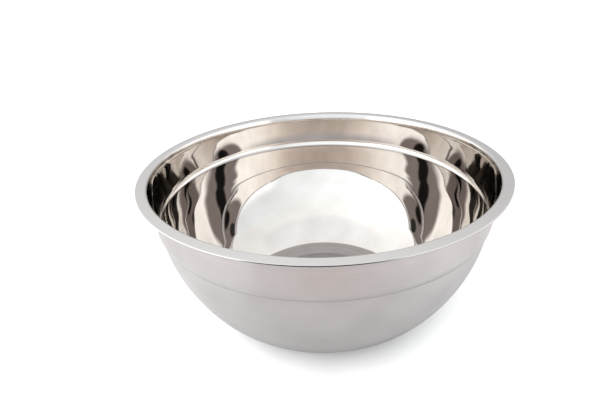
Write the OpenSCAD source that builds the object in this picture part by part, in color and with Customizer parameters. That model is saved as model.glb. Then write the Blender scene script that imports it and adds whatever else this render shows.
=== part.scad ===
// Stainless steel mixing bowl, pressed and spun from one round sheet.
// The sheet is drawn as a path along its mid-surface, from the rim down to the middle of the base.
// Each formed zone of that path is a node of its own, and neighbours meet face to face.
// Millimetres, +Z up, origin at the middle of the surface that the bowl stands on.

/* [Bowl] */
// Outside diameter over the rim
bowl_d = 280; // [255:1:330]
// Height from the standing surface to the top of the rim
bowl_h = 122; // [100:1:145]
// Thickness of the sheet
sheet_t = 0.7; // [0.5:0.1:1.2]

/* [Rim] */
// Width of the lip, from its outer edge to the inside of the wall
lip_w = 8.5; // [6.5:0.1:12]
// Radius of the bend from the lip into the wall, on its upper side
lip_bend_r = 1.8; // [1.4:0.1:4]
// Distance from the start of that bend to the free edge of the strip folded under the lip
hem_setback = 0.3; // [0.2:0.1:1.2]
// Gap between the lip and the strip folded under it
hem_gap = 0.2; // [0.1:0.05:0.6]

/* [Wall] */
// Lean of the wall from upright where it leaves the lip's bend, in degrees
flare_lean = 15; // [10:0.5:22]
// Height of the curve from that lean to the straight band below it
flare_h = 6; // [4:0.1:8]
// Lean of the wall's straight band from upright, in degrees
band_lean = 3; // [2:0.1:8]
// Depth of the top of the step below the rim
band_h = 26.8; // [18:0.1:34]
// Length of the step, measured down the band
step_h = 6.6; // [4:0.1:14]
// How far the step brings the wall inwards
step_w = 1.7; // [1:0.1:3]
// Radius of the crease at the foot of the step, at the middle of the sheet
crease_r = 1.2; // [1:0.1:2.5]
// Lean of the wall from upright just below the step, in degrees
wall_lean = 5.9; // [2:0.1:9]

/* [Base] */
// Diameter of the base, where the curve of the wall ends
base_d = 108; // [80:1:150]
// Slope of the wall where the tighter curve into the base starts, in degrees
base_turn = 53; // [44:0.1:58]
// Width of the flat ring that the bowl stands on
ring_w = 3; // [2:0.1:8]
// Width of the slope from that ring up to the raised middle of the base
raised_slope = 1.5; // [1:0.1:4]
// Height of the raised middle above the ring
raised_h = 0.6; // [0.3:0.1:1.5]

/* [Hidden] */
// Largest gap between a curve of the sheet and the short straight lines that stand for it
curve_gap = 0.01;
$fn = 180;

// A path is a list of [place, side] pairs: a point [radius, height] of the mid-surface and the
// direction there from the sheet towards its inner or upper face.
half_t = sheet_t / 2;
bowl_r = bowl_d / 2;
base_r = base_d / 2;
raised_r = base_r - ring_w - raised_slope;

// Directions from the wall towards the axis below the bend and on the straight band, and down the band
flare_in = [-cos(flare_lean), sin(flare_lean)];
band_in = [-cos(band_lean), sin(band_lean)];
band_down = [-sin(band_lean), -cos(band_lean)];

// Rim: the fold at the edge, the bend into the wall, and the strip that the fold brings under the lip
fold_r = sheet_t + hem_gap / 2;
fold_centre = [bowl_r - fold_r, bowl_h - fold_r];
lip_z = bowl_h - half_t;
bend_r = lip_bend_r - half_t;
bend_centre = [bowl_r - lip_w + lip_bend_r * cos(flare_lean), bowl_h - lip_bend_r];
hem_end = [bend_centre[0] + hem_setback, bowl_h - 2 * fold_r + half_t];

// Band: a wide curve from the end of the bend, then straight down to the top of the step
flare_r = flare_h / (sin(flare_lean) - sin(band_lean));
flare_centre = bend_centre + (bend_r - flare_r) * flare_in;
band_top = flare_centre + flare_r * band_in;
band_len = (band_top[1] - (bowl_h - band_h)) / cos(band_lean);
step_top = band_top + band_len * band_down;

// Step: a wide arc turns the wall in, and the crease turns it back to the lean of the wall below
wall_in = [-cos(wall_lean), sin(wall_lean)];
lean_gain = wall_lean - band_lean;
arcs_down = step_h + crease_r * sin(lean_gain);
arcs_in = step_w + crease_r * (1 - cos(lean_gain));
step_angle = 2 * atan(arcs_in / arcs_down);
shoulder_r = arcs_down / sin(step_angle) - crease_r;
step_end = step_top + step_h * band_down + step_w * band_in;
shoulder_centre = step_top + shoulder_r * band_in;
crease_centre = step_end - crease_r * wall_in;

// Lower wall and base curve: two arcs, tangent to the crease, to each other and to the flat base
drop = step_end[1] - half_t;
reach = step_end[0] - base_r;
wall_fall = cos(base_turn) - sin(wall_lean);
wall_run = cos(wall_lean) - sin(base_turn);
base_fall = 1 - cos(base_turn);
base_run = sin(base_turn);
arc_share = base_run * wall_fall - wall_run * base_fall;
wall_r = (drop * base_run - reach * base_fall) / arc_share;
base_curve_r = (reach * wall_fall - drop * wall_run) / arc_share;
wall_centre = step_end + wall_r * wall_in;
base_curve_centre = [base_r, half_t + base_curve_r];

function direction(angle) = [cos(angle), sin(angle)];

// Arc of a path. Facing is 1 where the sheet's inner or upper face is away from the centre, else -1.
function arc(centre, r, from, to, facing) =
    let (count = ceil(abs(to - from) / (2 * acos(1 - curve_gap / r))))
    [for (i = [0:count])
        let (out = direction(from + (to - from) * i / count))
        [centre + r * out, facing * out]];

// A list without its first item, for an arc that goes on from the point where another ends
function after_first(list) = [for (i = [1:len(list) - 1]) list[i]];

// Closed outline of the sheet along a path
function sheet_outline(path) = concat(
    [for (p = path) p[0] + half_t * p[1]],
    [for (i = [len(path) - 1:-1:0]) path[i][0] - half_t * path[i][1]]);

module sheet(path) {
    rotate_extrude()
        polygon(sheet_outline(path));
}

module rim_hem() {
    color("gainsboro")
        sheet(concat(
            arc(fold_centre, fold_r - half_t, 90, -90, 1),
            [[hem_end, [0, -1]]]));
}

module rim_lip() {
    color("gainsboro")
        sheet(concat(
            [[[fold_centre[0], lip_z], [0, 1]]],
            arc(bend_centre, bend_r, 90, 180 - flare_lean, 1)));
}

module upper_band() {
    color("silver")
        sheet(concat(
            arc(flare_centre, flare_r, 180 - flare_lean, 180 - band_lean, 1),
            [[step_top, band_in]]));
}

module step_shoulder() {
    color("lightgray")
        sheet(concat(
            arc(shoulder_centre, shoulder_r, -band_lean, -band_lean - step_angle, -1),
            after_first(arc(crease_centre, crease_r, 180 - band_lean - step_angle, 180 - wall_lean, 1))));
}

module lower_wall() {
    color("silver")
        sheet(arc(wall_centre, wall_r, -wall_lean, base_turn - 90, -1));
}

module base_curve() {
    color("darkgray")
        sheet(arc(base_curve_centre, base_curve_r, base_turn - 90, -90, -1));
}

// The raised middle is pressed up from the same sheet, so its slope is cut square to the base
module base_plate() {
    raised_z = half_t + raised_h;
    up = [0, 1];
    color("gray")
        sheet([
            [[base_r, half_t], up],
            [[base_r - ring_w, half_t], up],
            [[raised_r, raised_z], up],
            [[0, raised_z], up]]);
}

rim_hem();
rim_lip();
upper_band();
step_shoulder();
lower_wall();
base_curve();
base_plate();
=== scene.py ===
import math

import bpy
from mathutils import Matrix, Vector


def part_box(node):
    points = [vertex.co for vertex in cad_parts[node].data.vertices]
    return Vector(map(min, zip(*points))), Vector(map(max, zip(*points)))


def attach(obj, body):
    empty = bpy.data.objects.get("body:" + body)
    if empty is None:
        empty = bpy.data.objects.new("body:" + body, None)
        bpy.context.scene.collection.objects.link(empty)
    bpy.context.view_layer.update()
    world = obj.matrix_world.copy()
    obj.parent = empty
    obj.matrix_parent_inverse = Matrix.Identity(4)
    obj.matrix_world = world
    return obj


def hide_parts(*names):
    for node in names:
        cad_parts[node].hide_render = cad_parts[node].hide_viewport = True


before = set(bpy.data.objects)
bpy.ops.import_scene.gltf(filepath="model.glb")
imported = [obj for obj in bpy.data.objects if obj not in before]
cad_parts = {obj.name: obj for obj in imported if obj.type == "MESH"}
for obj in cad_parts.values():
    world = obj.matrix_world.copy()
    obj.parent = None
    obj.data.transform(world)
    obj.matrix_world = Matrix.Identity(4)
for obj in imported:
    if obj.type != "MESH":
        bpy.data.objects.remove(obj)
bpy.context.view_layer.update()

# The rim's edge and top come from the frame, and the rest of the sheet hangs from them
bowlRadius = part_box("rim_hem")[1].x
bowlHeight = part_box("rim_lip")[1].z
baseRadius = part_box("base_plate")[1].x
print("frame loaded, rim", round(bowlRadius * 2000), "mm across and", round(bowlHeight * 1000), "mm high")

# One sheet of steel, drawn as a line of (place, side) pairs along its middle, each (radius, height)
# Side points out of the face that looks into the bowl, or up on the lip
steelSheet = {
    "thickness": 0.0007,
    "turns": 288,  # points all round a ring
    "finestTurn": math.radians(5),  # largest turn of an arc from one ring to the next
    "longestRun": 0.0032,  # largest gap between two rings of an arc
    "creaseRise": 0.0004,  # middle of the step's crease above the top of the deep wall
    "onAxis": 0.000001,  # a ring with a smaller radius is one point
}
halfSheet = steelSheet["thickness"] / 2


def pointing(angle):
    return Vector((math.cos(angle), math.sin(angle)))


def arcLine(centre, radius, start, end, facing):
    byTurn = abs(end - start) / steelSheet["finestTurn"]
    byRun = abs(end - start) * radius / steelSheet["longestRun"]
    count = math.ceil(max(byTurn, byRun))
    outward = [pointing(start + (end - start) * i / count) for i in range(count + 1)]
    return [(centre + radius * out, facing * out) for out in outward]


def straightLine(start, end, side, count):
    return [(start.lerp(end, i / count), side) for i in range(count + 1)]


# Finishes

noiseRange = (0.3, 0.7)  # most of a noise's values lie between these


def addNode(tree, kind, inputs=None, **settings):
    node = tree.nodes.new(kind)
    for key, value in settings.items():
        setattr(node, key, value)
    for socket, value in (inputs or {}).items():
        if isinstance(value, bpy.types.NodeSocket):
            tree.links.new(value, node.inputs[socket])
        else:
            node.inputs[socket].default_value = value
    return node


def newFinish(name):
    finish = bpy.data.materials.new(name)
    finish.use_nodes = True
    finish.node_tree.nodes.clear()
    return finish, finish.node_tree


def reckon(tree, operation, *values):
    return addNode(tree, "ShaderNodeMath", dict(enumerate(values)), operation=operation).outputs["Value"]


def reckonPlace(tree, operation, *places):
    return addNode(tree, "ShaderNodeVectorMath", dict(enumerate(places)), operation=operation).outputs


def ranged(tree, value, start, end, low=0.0, high=1.0, kind="LINEAR"):
    # Low up to the start of the value's range, and high from its end
    return addNode(
        tree,
        "ShaderNodeMapRange",
        {"Value": value, "From Min": start, "From Max": end, "To Min": low, "To Max": high},
        interpolation_type=kind,
    ).outputs["Result"]


def eased(tree, value, start, end, low=0.0, high=1.0):
    return ranged(tree, value, start, end, low, high, "SMOOTHSTEP")


def spread(tree, noise, low, high):
    return ranged(tree, noise, *noiseRange, low, high)


def mixed(tree, share, low, high):
    return addNode(tree, "ShaderNodeMix", {"Factor": share, "A": low, "B": high}).outputs["Result"]


def tinted(tree, share, low, high, kind="MIX"):
    return addNode(
        tree,
        "ShaderNodeMix",
        {"Factor": share, "A": low, "B": high},
        data_type="RGBA",
        blend_type=kind,
    ).outputs["Result"]


def alongStops(tree, value, stops, kind="EASE"):
    # Colour that changes along a value, from (value, colour) stops
    ramp = addNode(tree, "ShaderNodeValToRGB", {"Fac": value})
    ramp.color_ramp.interpolation = kind
    while len(ramp.color_ramp.elements) < len(stops):
        ramp.color_ramp.elements.new(0.5)  # it gets its own place below
    for stop, (position, color) in zip(ramp.color_ramp.elements, stops):
        stop.position = position
        stop.color = color
    return ramp.outputs["Color"]


def raised(tree, height, depth, under=None):
    # Bump of one depth, laid over another where there is one
    inputs = {"Height": height, "Distance": depth}
    if under is not None:
        inputs["Normal"] = under
    return addNode(tree, "ShaderNodeBump", inputs).outputs["Normal"]


def latheTravel(tree):
    # Radius plus height grows all the way from the middle of the base to the rim, as the lathe tool travels
    place = addNode(tree, "ShaderNodeTexCoord").outputs["Object"]
    flat = reckonPlace(tree, "MULTIPLY", place, (1, 1, 0))["Vector"]
    radius = reckonPlace(tree, "LENGTH", flat)["Value"]
    height = addNode(tree, "ShaderNodeSeparateXYZ", {0: place}).outputs["Z"]
    return place, reckon(tree, "ADD", radius, height)


def creaseTravel():
    # Lathe travel at the step's crease on the outside of the sheet
    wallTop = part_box("lower_wall")[1]
    return wallTop.x + wallTop.z + steelSheet["creaseRise"]


def ringNoise(tree, travel, spacing, detail):
    # Noise that is the same all round a ring of the sheet
    return addNode(
        tree,
        "ShaderNodeTexNoise",
        {"W": travel, "Scale": 1 / spacing, "Detail": detail},
        noise_dimensions="1D",
    ).outputs["Fac"]


def patchNoise(tree, place, spacing, detail):
    return addNode(
        tree,
        "ShaderNodeTexNoise",
        {"Vector": place, "Scale": 1 / spacing, "Detail": detail},
    ).outputs["Fac"]


def steelSurface(tree, looks):
    surface = addNode(tree, "ShaderNodeBsdfPrincipled", {"Metallic": 1.0, **looks})
    addNode(tree, "ShaderNodeOutputMaterial", {"Surface": surface.outputs["BSDF"]})


mirrorSteel = {
    "tone": ((0.565, 0.540, 0.515, 1), (0.785, 0.760, 0.732, 1)),
    "roughness": (0.010, 0.035),
    "smudges": (0.030, 3),  # spacing and detail of the soft smudges
    "paintedShadeHalfWidth": 0.0012,  # half width of the painted shade line in the step's crease
    # colour of that painted shade line
    "paintedShadeTone": (0.40, 0.375, 0.36, 1),
    "ripple": (0.030, 0.000083, 0.195),  # spacing, depth and start of the slow rings that forming left
    "rippleShare": [
        # lathe travel, and how much of those rings there is
        (0.174, 0.0),
        (0.198, 0.95),
        (0.212, 0.95),
        (0.225, 0.45),
    ],
    "dents": (0.045, 1, 0.00003),  # spacing, detail and depth
    "polishLines": (0.0006, 4, 0.0000006),  # spacing, detail and depth
}


def mirrorInside():
    finish, tree = newFinish("mirror_polished_inside")
    place, travel = latheTravel(tree)
    smudge = patchNoise(tree, place, *mirrorSteel["smudges"])
    tone = tinted(tree, smudge, *mirrorSteel["tone"])
    # Painted shade: a dark line in the colour along the step's crease inside
    creaseInside = creaseTravel() - steelSheet["thickness"]
    crease = reckon(tree, "COMPARE", travel, creaseInside, mirrorSteel["paintedShadeHalfWidth"])

    # Slow rings, shallow dents over them, and fine polishing lines over both
    spacing, depth, start = mirrorSteel["ripple"]
    rate = math.tau / spacing
    wave = reckon(tree, "SINE", reckon(tree, "MULTIPLY_ADD", travel, rate, -start * rate))
    shares = [(travelled, (part, part, part, 1)) for travelled, part in mirrorSteel["rippleShare"]]
    rings = reckon(tree, "MULTIPLY", wave, alongStops(tree, travel, shares))
    normal = raised(tree, rings, depth)
    spacing, detail, depth = mirrorSteel["dents"]
    normal = raised(tree, patchNoise(tree, place, spacing, detail), depth, normal)
    spacing, detail, depth = mirrorSteel["polishLines"]
    normal = raised(tree, ringNoise(tree, travel, spacing, detail), depth, normal)
    steelSurface(tree, {
        "Base Color": tinted(tree, crease, tone, mirrorSteel["paintedShadeTone"]),
        "Roughness": spread(tree, smudge, *mirrorSteel["roughness"]),
        "Normal": normal,
    })
    return finish


# Soft painted shade line in the step's crease on the outside
creaseShade = {
    "halfWidth": 0.0016,
    "tone": (0.545, 0.535, 0.530, 1),
}

satinSteel = {
    "tone": ((0.590, 0.580, 0.575, 1), (0.660, 0.650, 0.645, 1)),
    "roughness": (0.16, 0.21),
    "grain": (0.0030, 1, 0.0000002),  # spacing, detail and depth of the lines left round the sheet
    "bands": (0.012, 2),  # spacing and detail of the slow change in the grain
    "mottle": (0.022, 3, 0.80),  # spacing and detail of the faint patches, and their share in the tone
    "anisotropy": 0.2,
}

satinRim = {
    "tone": ((0.555, 0.544, 0.540, 1), (0.595, 0.582, 0.577, 1)),
    "roughness": (0.09, 0.14),
    "grain": (0.0004, 1, 0.0000008),
    "bands": (0.006, 2),
    "mottle": (0.020, 3, 0.3),
    "anisotropy": 0.3,
}

turnedBase = {
    "tone": ((0.48, 0.465, 0.460, 1), (0.53, 0.515, 0.510, 1)),
    "roughness": (0.10, 0.18),
    "grain": (0.0007, 1, 0.0000012),
    "bands": (0.010, 2),
    "mottle": (0.020, 3, 0.3),
    "anisotropy": 0.5,
}

quarterTurn = 0.25  # of the highlight, so that it stretches across the lines


def ringGrain(name, steel):
    # Fine lines all round, which stretch a highlight across them
    finish, tree = newFinish(name)
    place, travel = latheTravel(tree)
    grainSpacing, grainDetail, grainDepth = steel["grain"]
    mottleSpacing, mottleDetail, mottleShare = steel["mottle"]
    grain = ringNoise(tree, travel, grainSpacing, grainDetail)
    bands = ringNoise(tree, travel, *steel["bands"])
    patches = patchNoise(tree, place, mottleSpacing, mottleDetail)
    worn = mixed(tree, mottleShare, grain, patches)
    tone = tinted(tree, spread(tree, worn, 0, 1), *steel["tone"])
    # Painted shade: the tone darkens in a soft line at the step's crease on the outside
    fromCrease = reckon(tree, "ABSOLUTE", reckon(tree, "SUBTRACT", travel, creaseTravel()))
    paintedShade = eased(tree, fromCrease, 0.0, creaseShade["halfWidth"], 1.0, 0.0)
    around = addNode(tree, "ShaderNodeTangent", direction_type="RADIAL", axis="Z")
    steelSurface(tree, {
        "Base Color": tinted(tree, paintedShade, tone, creaseShade["tone"]),
        "Roughness": spread(tree, bands, *steel["roughness"]),
        "Anisotropic": steel["anisotropy"],
        "Anisotropic Rotation": quarterTurn,
        "Tangent": around.outputs["Tangent"],
        "Normal": raised(tree, grain, grainDepth),
    })
    return finish


insideFinish = mirrorInside()
outsideFinish = ringGrain("satin_outside", satinSteel)
rimFinish = ringGrain("satin_rim", satinRim)
baseFinish = ringGrain("turned_base", turnedBase)
print("finishes made")


# Spinning a zone of the sheet

def ringOf(place, normal):
    if place.x < steelSheet["onAxis"]:
        return [(0, 0, place.y)], [(0, 0, normal.y)]
    angles = [math.tau * j / steelSheet["turns"] for j in range(steelSheet["turns"])]
    points = [(place.x * math.cos(a), place.x * math.sin(a), place.y) for a in angles]
    normals = [(normal.x * math.cos(a), normal.x * math.sin(a), normal.y) for a in angles]
    return points, normals


def spinSheet(zone, line, faceFinish, backFinish):
    # Outline of the zone: along the face, over the end, back along the other side and over the start
    outline = [(place + halfSheet * side, side) for place, side in line]
    outline += [(place - halfSheet * side, -side) for place, side in reversed(line)]
    count = len(outline)
    area = sum(
        outline[k][0].x * outline[(k + 1) % count][0].y - outline[(k + 1) % count][0].x * outline[k][0].y
        for k in range(count)
    )
    points = []
    firstOf = []
    sizeOf = []
    for place, side in outline:
        ring = ringOf(place, side)[0]
        firstOf.append(len(points))
        sizeOf.append(len(ring))
        points += ring
    faces = []
    normals = []
    finishes = []
    for k in range(count):
        after = (k + 1) % count
        if sizeOf[k] == 1 and sizeOf[after] == 1:
            continue
        isEdge = k == len(line) - 1 or k == count - 1
        run = outline[after][0] - outline[k][0]
        square = Vector((run.y, -run.x)).normalized() * (1 if area > 0 else -1)
        nearNormals = ringOf(outline[k][0], square if isEdge else outline[k][1])[1]
        farNormals = ringOf(outline[after][0], square if isEdge else outline[after][1])[1]
        for j in range(steelSheet["turns"]):
            nextJ = (j + 1) % steelSheet["turns"]
            corners = [(k, j), (k, nextJ), (after, nextJ), (after, j)]
            if area < 0:
                corners.reverse()
            face = []
            for ring, spot in corners:
                place = spot if sizeOf[ring] > 1 else 0
                vertex = firstOf[ring] + place
                if vertex in face:
                    continue
                face.append(vertex)
                normals.append((nearNormals if ring == k else farNormals)[place])
            faces.append(face)
            finishes.append(0 if k < len(line) - 1 else 1)  # the face's finish, or the back's
    mesh = bpy.data.meshes.new(zone["name"])
    mesh.from_pydata(points, [], faces)
    mesh.materials.append(faceFinish)
    mesh.materials.append(backFinish)
    mesh.polygons.foreach_set("material_index", finishes)
    mesh.polygons.foreach_set("use_smooth", [True] * len(faces))
    mesh.normals_split_custom_set(normals)
    mesh.update()
    piece = bpy.data.objects.new(zone["name"], mesh)
    bpy.context.scene.collection.objects.link(piece)
    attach(piece, "root")
    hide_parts(zone["node"])
    print(zone["name"], "spun,", len(faces), "faces")


# The edge is folded under the lip
hemmedEdge = {
    "name": "hemmed_edge",
    "node": "rim_hem",
    "slot": "satin_rim",
    "setback": 0.0003,  # from the start of the lip's bend to the free edge
    "gap": 0.0002,
}

# The flat lip bends down into the wall
flatLip = {
    "name": "flat_lip",
    "node": "rim_lip",
    "slot": "satin_rim",
    "width": 0.0085,
    "bendRadius": 0.0018,
    "flare": math.radians(15),  # lean of the wall where the bend ends
}
flareIn = Vector((-math.cos(flatLip["flare"]), math.sin(flatLip["flare"])))
foldRadius = steelSheet["thickness"] + hemmedEdge["gap"] / 2
foldCentre = Vector((bowlRadius - foldRadius, bowlHeight - foldRadius))
bendRadius = flatLip["bendRadius"] - halfSheet
bendCentre = Vector((
    bowlRadius - flatLip["width"] + flatLip["bendRadius"] * math.cos(flatLip["flare"]),
    bowlHeight - flatLip["bendRadius"],
))
lipLine = [(Vector((foldCentre.x, bowlHeight - halfSheet)), Vector((0, 1)))]
lipLine += arcLine(bendCentre, bendRadius, math.pi / 2, math.pi - flatLip["flare"], 1)
spinSheet(flatLip, lipLine, rimFinish, rimFinish)
hemEnd = Vector((bendCentre.x + hemmedEdge["setback"], bowlHeight - 2 * foldRadius + halfSheet))
hemLine = arcLine(foldCentre, foldRadius - halfSheet, math.pi / 2, -math.pi / 2, 1)
hemLine += [(hemEnd, Vector((0, -1)))]
spinSheet(hemmedEdge, hemLine, rimFinish, rimFinish)

# The wall flares a little below the lip and then runs straight down to the step
upperBand = {
    "name": "straight_band",
    "node": "upper_band",
    "slot": "polished_sheet",
    "flareHeight": 0.006,
    "depth": 0.0268,  # from the rim's top to the step
    "lean": math.radians(3),  # of the straight part
    "rings": 8,
}
bandLean = upperBand["lean"]
bandDown = Vector((-math.sin(bandLean), -math.cos(bandLean)))
bandIn = Vector((-math.cos(bandLean), math.sin(bandLean)))
flareRadius = upperBand["flareHeight"] / (math.sin(flatLip["flare"]) - math.sin(bandLean))
flareCentre = bendCentre + (bendRadius - flareRadius) * flareIn
bandTop = flareCentre + flareRadius * bandIn
bandLength = (bandTop.y - (bowlHeight - upperBand["depth"])) / math.cos(bandLean)
stepTop = bandTop + bandLength * bandDown
bandLine = arcLine(flareCentre, flareRadius, math.pi - flatLip["flare"], math.pi - bandLean, 1)
bandLine += straightLine(bandTop, stepTop, bandIn, upperBand["rings"])[1:]
spinSheet(upperBand, bandLine, insideFinish, outsideFinish)

# Pressed step: a wide arc brings the wall in, and a crease turns it back to the lean of the wall below
pressedStep = {
    "name": "pressed_step",
    "node": "step_shoulder",
    "slot": "polished_sheet",
    "length": 0.0066,
    "inset": 0.0017,
    "creaseRadius": 0.0012,
    "wallLean": math.radians(5.9),  # lean of the wall just below
}
wallLean = pressedStep["wallLean"]
wallIn = Vector((-math.cos(wallLean), math.sin(wallLean)))
creaseRadius = pressedStep["creaseRadius"]
arcsDown = pressedStep["length"] + creaseRadius * math.sin(wallLean - bandLean)
arcsIn = pressedStep["inset"] + creaseRadius * (1 - math.cos(wallLean - bandLean))
stepTurn = 2 * math.atan(arcsIn / arcsDown)
shoulderRadius = arcsDown / math.sin(stepTurn) - creaseRadius
stepEnd = stepTop + pressedStep["length"] * bandDown + pressedStep["inset"] * bandIn
steepest = -bandLean - stepTurn
shoulderCentre = stepTop + shoulderRadius * bandIn
creaseCentre = stepEnd - creaseRadius * wallIn
stepLine = arcLine(shoulderCentre, shoulderRadius, -bandLean, steepest, -1)
stepLine += arcLine(creaseCentre, creaseRadius, math.pi + steepest, math.pi - wallLean, 1)[1:]
spinSheet(pressedStep, stepLine, insideFinish, outsideFinish)

# Deep wall and the tighter curve into the base: two arcs, tangent to the crease, each other and the base
deepWall = {"name": "deep_wall", "node": "lower_wall", "slot": "polished_sheet"}
baseTurn = {
    "name": "base_turn",
    "node": "base_curve",
    "slot": "polished_sheet",
    "slope": math.radians(53),  # slope of the wall where the tighter curve starts
}
drop = stepEnd.y - halfSheet
reach = stepEnd.x - baseRadius
wallFall = math.cos(baseTurn["slope"]) - math.sin(wallLean)
wallRun = math.cos(wallLean) - math.sin(baseTurn["slope"])
baseFall = 1 - math.cos(baseTurn["slope"])
baseRun = math.sin(baseTurn["slope"])
arcShare = baseRun * wallFall - wallRun * baseFall
wallRadius = (drop * baseRun - reach * baseFall) / arcShare
turnRadius = (reach * wallFall - drop * wallRun) / arcShare
turnStart = baseTurn["slope"] - math.pi / 2
wallLine = arcLine(stepEnd + wallRadius * wallIn, wallRadius, -wallLean, turnStart, -1)
spinSheet(deepWall, wallLine, insideFinish, outsideFinish)
turnCentre = Vector((baseRadius, halfSheet + turnRadius))
turnLine = arcLine(turnCentre, turnRadius, turnStart, -math.pi / 2, -1)
spinSheet(baseTurn, turnLine, insideFinish, outsideFinish)

# Base: a flat ring to stand on, and a middle that is pressed up a little
basePlate = {
    "name": "raised_base",
    "node": "base_plate",
    "slot": "polished_sheet",
    "ringWidth": 0.003,
    "slopeWidth": 0.0015,
    "rise": 0.0006,
    "slopeRings": 10,
    "middleRings": 6,
}


def basePoint(inward):
    # The slope is a soft S from the ring to the middle
    share = min(max((inward - basePlate["ringWidth"]) / basePlate["slopeWidth"], 0), 1)
    height = halfSheet + basePlate["rise"] * share * share * (3 - 2 * share)
    climb = basePlate["rise"] / basePlate["slopeWidth"] * 6 * share * (1 - share)
    return Vector((baseRadius - inward, height)), Vector((climb, 1)).normalized()


slopeEnd = basePlate["ringWidth"] + basePlate["slopeWidth"]
baseSteps = [0]
baseSteps += [
    basePlate["ringWidth"] + basePlate["slopeWidth"] * i / basePlate["slopeRings"]
    for i in range(basePlate["slopeRings"] + 1)
]
baseSteps += [
    slopeEnd + (baseRadius - slopeEnd) * (i + 1) / basePlate["middleRings"]
    for i in range(basePlate["middleRings"])
]
spinSheet(basePlate, [basePoint(inward) for inward in baseSteps], baseFinish, outsideFinish)


# Studio

def flatSheet(name, corners):
    mesh = bpy.data.meshes.new(name)
    mesh.from_pydata(corners, [], [(0, 1, 2, 3)])
    sheet = bpy.data.objects.new(name, mesh)
    bpy.context.scene.collection.objects.link(sheet)
    finish, tree = newFinish(name)
    mesh.materials.append(finish)
    return sheet, tree


paleFloor = {
    "size": 6.0,
    "shadowSpot": (0, -0.10, 0),  # place of the painted shadow before the base
    "shade": [
        # distance from that place, and the floor's colour there, darker near it as painted shadow
        (0.00, (0.83, 0.83, 0.82, 1)),
        (0.03, (0.88, 0.88, 0.87, 1)),
        (0.10, (0.98, 0.98, 0.975, 1)),
    ],
    "dimSpot": (0, -0.25, 0),  # middle of the painted shade on the floor that the wall's front shows
    "mirrored": [
        # distance from that place, and the floor's colour there as the steel shows it: painted shade, darkest
        # near that place and far away
        (0.02, (0.410, 0.388, 0.382, 1)),
        (0.12, (0.442, 0.432, 0.430, 1)),
        (0.18, (0.500, 0.500, 0.500, 1)),
        (0.26, (0.550, 0.550, 0.550, 1)),
        (0.34, (0.520, 0.520, 0.520, 1)),
        (0.64, (0.360, 0.360, 0.360, 1)),
    ],
    "warmSpot": (0, 0, 0),  # under the middle of the bowl
    "warmth": [
        # distance from that place, and the floor's painted tint there as the steel shows it, a little
        # brighter near the bowl and pinker further out
        (0.10, (1.050, 1.038, 1.034, 1)),
        (0.17, (0.985, 0.968, 0.965, 1)),
        (0.25, (1.000, 0.952, 0.940, 1)),
    ],
}


def layFloor():
    half = paleFloor["size"] / 2
    corners = [(-half, -half, 0), (half, -half, 0), (half, half, 0), (-half, half, 0)]
    floor, tree = flatSheet("pale_floor", corners)
    place = addNode(tree, "ShaderNodeTexCoord").outputs["Object"]
    mirrored, warmth, shade = [
        alongStops(tree, reckonPlace(tree, "DISTANCE", place, paleFloor[spot])["Value"], paleFloor[stops])
        for spot, stops in (("dimSpot", "mirrored"), ("warmSpot", "warmth"), ("shadowSpot", "shade"))
    ]
    # Painted shade: the floor the steel shows is darker and tinted, unlike the one the camera sees
    mirrored = tinted(tree, 1.0, mirrored, warmth, "MULTIPLY")
    seen = addNode(tree, "ShaderNodeLightPath").outputs["Is Camera Ray"]
    # The camera sees the floor with the painted shadow, and the steel sees the darker floor with painted
    # shade
    matt = addNode(tree, "ShaderNodeBsdfDiffuse", {"Color": tinted(tree, seen, mirrored, shade)})
    addNode(tree, "ShaderNodeOutputMaterial", {"Surface": matt.outputs["BSDF"]})


# Heights and sides of the room are parts of a view's direction: 0 is level, 1 is straight up, back or right
whiteRoom = {
    "walls": [
        # how far a view points to the back of the room, and the light of the wall there
        (-0.35, (2.05, 2.03, 2.00, 1)),
        (-0.05, (1.95, 1.88, 1.82, 1)),
        (0.45, (1.40, 1.26, 1.16, 1)),
        (0.68, (1.02, 0.90, 0.82, 1)),
        (0.88, (0.96, 0.84, 0.76, 1)),
        (1.00, (0.80, 0.69, 0.61, 1)),
    ],
    "firstEnds": 1.5,  # count of reflections that parts first ones from deeper ones
    "backdrop": 1.1,  # light of the plain white that the camera sees
}

# What the steel shows of the room in first reflections, and what lights the floor
firstRoom = {
    "ceiling": ((1.40, 1.40, 1.40, 1), (1.23, 1.23, 1.23, 1)),  # its light in front and behind
    "ceilingBehind": (-0.2, 0.6),  # how far a view points to the back where the one becomes the other
    "ceilingFrom": (0.30, 0.65),  # height where the walls give way to it
    "glare": (1.36, 1.41, 1.46, 1),  # most light that shows
    "overhead": (1.22, 1.23, 1.25, 1),  # light straight above
    "overheadFrom": (0.80, 0.92),
    "horizon": (0.30, 0.72),  # height below which the light dims, and its gain at level
    "panels": (2.6, 2.6, 2.6, 1),  # low bright panels left and right
    "panelsFrom": (0.55, 0.75),  # how far a view points to a side where they start
    "panelsTop": (0.22, 0.42),  # height where they end
    "gains": (1.24, 0.80),  # of the left and the right
}

# What it shows in reflections of reflections
deeperRoom = {
    "overhead": (0.80, 0.79, 0.83, 1),
    "overheadFrom": (0.50, 0.75),
    "gains": (1.02, 0.95),
}
noLight = (0, 0, 0, 1)
whiteLight = (1, 1, 1, 1)


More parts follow.
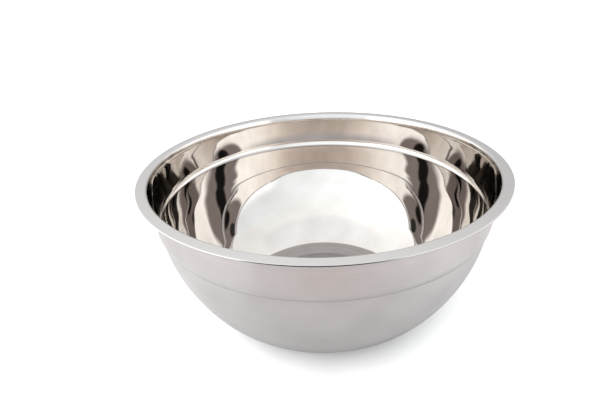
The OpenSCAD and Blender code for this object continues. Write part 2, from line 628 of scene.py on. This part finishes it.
def firstLight(tree, toward, walls):
    behind = ranged(tree, toward["Y"], *firstRoom["ceilingBehind"])
    ceiling = tinted(tree, behind, *firstRoom["ceiling"])
    light = tinted(tree, eased(tree, toward["Z"], *firstRoom["ceilingFrom"]), walls, ceiling)
    plain = addNode(tree, "ShaderNodeRGBToBW", {"Color": light}).outputs["Val"]
    light = tinted(tree, 1.0, plain, firstRoom["glare"], "DARKEN")
    above = eased(tree, toward["Z"], *firstRoom["overheadFrom"])
    light = tinted(tree, above, light, firstRoom["overhead"])
    dimBelow, levelGain = firstRoom["horizon"]
    light = tinted(tree, eased(tree, toward["Z"], 0.0, dimBelow, levelGain, 1.0), noLight, light)
    across = eased(tree, reckon(tree, "ABSOLUTE", toward["X"]), *firstRoom["panelsFrom"])
    under = eased(tree, toward["Z"], *firstRoom["panelsTop"], 1.0, 0.0)
    return tinted(tree, reckon(tree, "MULTIPLY", across, under), light, firstRoom["panels"])


def deeperLight(tree, toward, walls):
    above = eased(tree, toward["Z"], *deeperRoom["overheadFrom"])
    return tinted(tree, above, walls, deeperRoom["overhead"])


def lightRoom():
    world = bpy.data.worlds.new("white_room")
    bpy.context.scene.world = world
    world.use_nodes = True
    tree = world.node_tree
    tree.nodes.clear()
    view = addNode(tree, "ShaderNodeTexCoord").outputs["Generated"]
    toward = addNode(tree, "ShaderNodeSeparateXYZ", {0: view}).outputs
    path = addNode(tree, "ShaderNodeLightPath").outputs
    stops = [((away + 1) / 2, light) for away, light in whiteRoom["walls"]]
    walls = alongStops(tree, ranged(tree, toward["Y"], -1.0, 1.0), stops, "LINEAR")
    deeper = reckon(tree, "GREATER_THAN", path["Glossy Depth"], whiteRoom["firstEnds"])
    light = tinted(tree, deeper, firstLight(tree, toward, walls), deeperLight(tree, toward, walls))
    firstGain = ranged(tree, toward["X"], -1.0, 1.0, *firstRoom["gains"])
    deeperGain = ranged(tree, toward["X"], -1.0, 1.0, *deeperRoom["gains"])
    gain = mixed(tree, deeper, firstGain, deeperGain)
    room = addNode(tree, "ShaderNodeBackground", {"Color": light, "Strength": gain})
    backdrop = addNode(tree, "ShaderNodeBackground", {"Color": whiteLight, "Strength": whiteRoom["backdrop"]})
    both = addNode(
        tree,
        "ShaderNodeMixShader",
        {0: path["Is Camera Ray"], 1: room.outputs["Background"], 2: backdrop.outputs["Background"]},
    )
    addNode(tree, "ShaderNodeOutputWorld", {"Surface": both.outputs["Shader"]})


# Dark card just behind the camera, which shows in reflections of reflections and in the near edge of the rim
darkCard = {
    "distance": 0.330,  # in front of the bowl's axis
    "halfWidth": 0.40,
    "height": (-0.115, 0.62),  # above the rim
    "nearEdge": (0.27, 0.40),  # the last patch shows only nearer than this, in first and deeper reflections
    "patches": [
        # each lies over the ones before it, and the card is clear round them
        {
            "at": (0, 0.21),  # middle, across and above the rim
            "half": (0.245, 0.125),  # half width and half height
            "soft": 0.16,  # share of its size over which its edge fades, either way
            "shade": (0.40, 0.345, 0.335, 1),
            "reflections": 2,  # how many it takes to show
        },
        {
            "at": (0, 0.22),
            "half": (0.24, 0.16),
            "soft": 0.2,
            "shade": (0.09, 0.08, 0.07, 1),
            "reflections": 4,
        },
        {
            "at": (0, 0.235),
            "half": (0.045, 0.035),
            "soft": 0.2,
            "shade": (0.05, 0.055, 0.05, 1),
            "reflections": 2,
        },
        {
            "at": (0, 0.136),
            "half": (0.060, 0.040),
            "soft": 0.25,
            "shade": (0.016, 0.015, 0.014, 1),
            "reflections": 2,
        },
        {
            "at": (-0.04, 0.12),
            "half": (0.24, 0.36),
            "soft": 0.3,
            "shade": (0.02, 0.02, 0.02, 1),
            "reflections": 0,  # it shows from near instead
        },
    ],
}


def hangDarkCard():
    side = darkCard["halfWidth"]
    low, high = [bowlHeight + height for height in darkCard["height"]]
    away = -darkCard["distance"]
    corners = [(-side, away, low), (side, away, low), (side, away, high), (-side, away, high)]
    card, tree = flatSheet("dark_card", corners)
    place = addNode(tree, "ShaderNodeTexCoord").outputs["Object"]
    path = addNode(tree, "ShaderNodeLightPath").outputs
    deeper = reckon(tree, "GREATER_THAN", path["Glossy Depth"], whiteRoom["firstEnds"])
    near = reckon(tree, "LESS_THAN", path["Ray Length"], mixed(tree, deeper, *darkCard["nearEdge"]))
    shown = addNode(tree, "ShaderNodeBsdfTransparent").outputs["BSDF"]
    for patch in darkCard["patches"]:
        across, up = patch["at"]
        halfWidth, halfHeight = patch["half"]
        offset = reckonPlace(tree, "SUBTRACT", place, (across, away, bowlHeight + up))["Vector"]
        scaled = reckonPlace(tree, "MULTIPLY", offset, (1 / halfWidth, 0, 1 / halfHeight))["Vector"]
        outward = reckonPlace(tree, "LENGTH", scaled)["Value"]
        within = eased(tree, outward, 1 - patch["soft"], 1 + patch["soft"], 1.0, 0.0)
        reached = near
        if patch["reflections"]:
            countBelow = patch["reflections"] - 0.5  # halfway to the count before
            reached = reckon(tree, "GREATER_THAN", path["Glossy Depth"], countBelow)
        cover = reckon(tree, "MULTIPLY", within, reached)
        glow = addNode(tree, "ShaderNodeEmission", {"Color": patch["shade"]}).outputs["Emission"]
        shown = addNode(tree, "ShaderNodeMixShader", {0: cover, 1: shown, 2: glow}).outputs["Shader"]
    addNode(tree, "ShaderNodeOutputMaterial", {"Surface": shown})
    card.active_material.cycles.emission_sampling = "NONE"
    card.visible_camera = False
    card.visible_shadow = False
    card.visible_diffuse = False


# Large soft light from the left, which evens out the floor and does not show in the steel
softBox = {
    "at": (-0.30, -0.55, 1.2),
    "size": 1.4,
    "power": 18.0,
}


def hangSoftBox():
    lamp = bpy.data.lights.new("soft_box", "AREA")
    lamp.size = softBox["size"]
    lamp.energy = softBox["power"]
    box = bpy.data.objects.new("soft_box", lamp)
    bpy.context.scene.collection.objects.link(box)
    box.location = softBox["at"]
    box.rotation_euler = (-Vector(softBox["at"])).to_track_quat("-Z", "Y").to_euler()
    box.visible_glossy = False


layFloor()
lightRoom()
hangSoftBox()
hangDarkCard()
print("studio lit")

# Camera at the photo's place: it looks at the middle of the rim and is then panned, tilted and rolled
photoCamera = {
    "lens": 26.7,
    "sensor": 36.0,
    "distance": 0.35131,
    "elevation": math.radians(22.048),
    "roll": math.radians(1.557),
    "pan": math.radians(2.603),
    "tilt": math.radians(4.943),
    "nearest": 0.01,  # nothing nearer than this is drawn
}
mirrorBounces = 10  # most reflections of reflections that the inside shows


def setCamera():
    elevation = photoCamera["elevation"]
    forward = Vector((0, math.cos(elevation), -math.sin(elevation)))
    upward = Vector((0, math.sin(elevation), math.cos(elevation)))
    turned = (
        Matrix.Rotation(photoCamera["pan"], 3, "Y")
        @ Matrix.Rotation(-photoCamera["tilt"], 3, "X")
        @ Matrix.Rotation(photoCamera["roll"], 3, "Z")
        @ Matrix((Vector((1, 0, 0)), upward, forward))
    )
    lens = bpy.data.cameras.new("photo_camera")
    lens.lens = photoCamera["lens"]
    lens.sensor_width = photoCamera["sensor"]
    lens.clip_start = photoCamera["nearest"]
    camera = bpy.data.objects.new("photo_camera", lens)
    bpy.context.scene.collection.objects.link(camera)
    facing = Matrix((turned[0], turned[1], -turned[2])).transposed().to_4x4()
    place = Vector((0, 0, bowlHeight)) - photoCamera["distance"] * forward
    camera.matrix_world = Matrix.Translation(place) @ facing
    bpy.context.scene.camera = camera


setCamera()
scene = bpy.context.scene
scene.view_settings.view_transform = "Standard"
scene.cycles.glossy_bounces = mirrorBounces
print("camera set")
